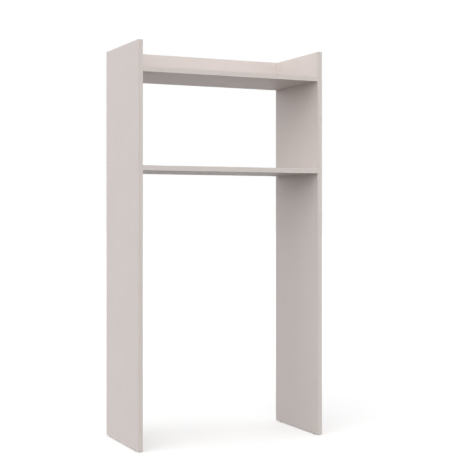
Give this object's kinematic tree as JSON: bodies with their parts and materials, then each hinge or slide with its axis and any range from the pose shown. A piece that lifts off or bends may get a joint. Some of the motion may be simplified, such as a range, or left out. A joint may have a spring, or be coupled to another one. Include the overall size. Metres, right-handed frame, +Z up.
{
  "type": "washing machine cabinet",
  "caption": "Tall open cabinet of flat panels that stands over a washing machine, with fixed shelves above the bay and a railed top shelf.",
  "frame": {"origin": "on the floor, under the middle of the cabinet's outline", "axes": "+Z up, +Y towards the wall, so the open front faces -Y, +X to the right seen from the front"},
  "size_m": [0.65, 0.304, 1.275],
  "materials": {
    "melamine_board": "matt greige melamine on chipboard, faint pearl texture, chipboard core on the cut faces",
    "abs_edging": "satin ABS edging in the board's colour, long edges rounded",
    "zinc_casting": "bare zinc die casting, dull",
    "plated_steel": "bright zinc-plated steel",
    "beech": "plain unfinished beech, grain along the dowel",
    "cap_plastic": "moulded polyethylene in the board's colour",
    "glide_plastic": "moulded grey polyethylene, scuffed underneath"
  },
  "bodies": {
    "root": {"side_panel_left": "melamine_board", "side_panel_right": "melamine_board", "upper_shelf": "melamine_board", "lower_shelf": "melamine_board", "back_rail": "melamine_board", "side_panel_left_front_band": "abs_edging", "side_panel_left_top_band": "abs_edging", "side_panel_left_rear_band": "abs_edging", "side_panel_right_front_band": "abs_edging", "side_panel_right_top_band": "abs_edging", "side_panel_right_rear_band": "abs_edging", "upper_shelf_front_band": "abs_edging", "lower_shelf_front_band": "abs_edging", "lower_shelf_rear_band": "abs_edging", "back_rail_top_band": "abs_edging", "cam_lock_1": "zinc_casting", "cam_lock_2": "zinc_casting", "cam_lock_3": "zinc_casting", "cam_lock_4": "zinc_casting", "cam_lock_5": "zinc_casting", "cam_lock_6": "zinc_casting", "cam_lock_7": "zinc_casting", "cam_lock_8": "zinc_casting", "cam_bolt_1": "plated_steel", "cam_bolt_2": "plated_steel", "cam_bolt_3": "plated_steel", "cam_bolt_4": "plated_steel", "cam_bolt_5": "plated_steel", "cam_bolt_6": "plated_steel", "cam_bolt_7": "plated_steel", "cam_bolt_8": "plated_steel", "rail_screw_1": "plated_steel", "rail_screw_2": "plated_steel", "rail_screw_3": "plated_steel", "wall_bracket_left": "plated_steel", "wall_bracket_right": "plated_steel", "bracket_screw_left": "plated_steel", "bracket_screw_right": "plated_steel", "dowel_1": "beech", "dowel_2": "beech", "dowel_3": "beech", "dowel_4": "beech", "dowel_5": "beech", "dowel_6": "beech", "dowel_7": "beech", "dowel_8": "beech", "cam_cap_1": "cap_plastic", "cam_cap_2": "cap_plastic", "cam_cap_3": "cap_plastic", "cam_cap_4": "cap_plastic", "cam_cap_5": "cap_plastic", "cam_cap_6": "cap_plastic", "cam_cap_7": "cap_plastic", "cam_cap_8": "cap_plastic", "floor_glide_1": "glide_plastic", "floor_glide_2": "glide_plastic", "floor_glide_3": "glide_plastic", "floor_glide_4": "glide_plastic"}
  },
  "joints": []
}
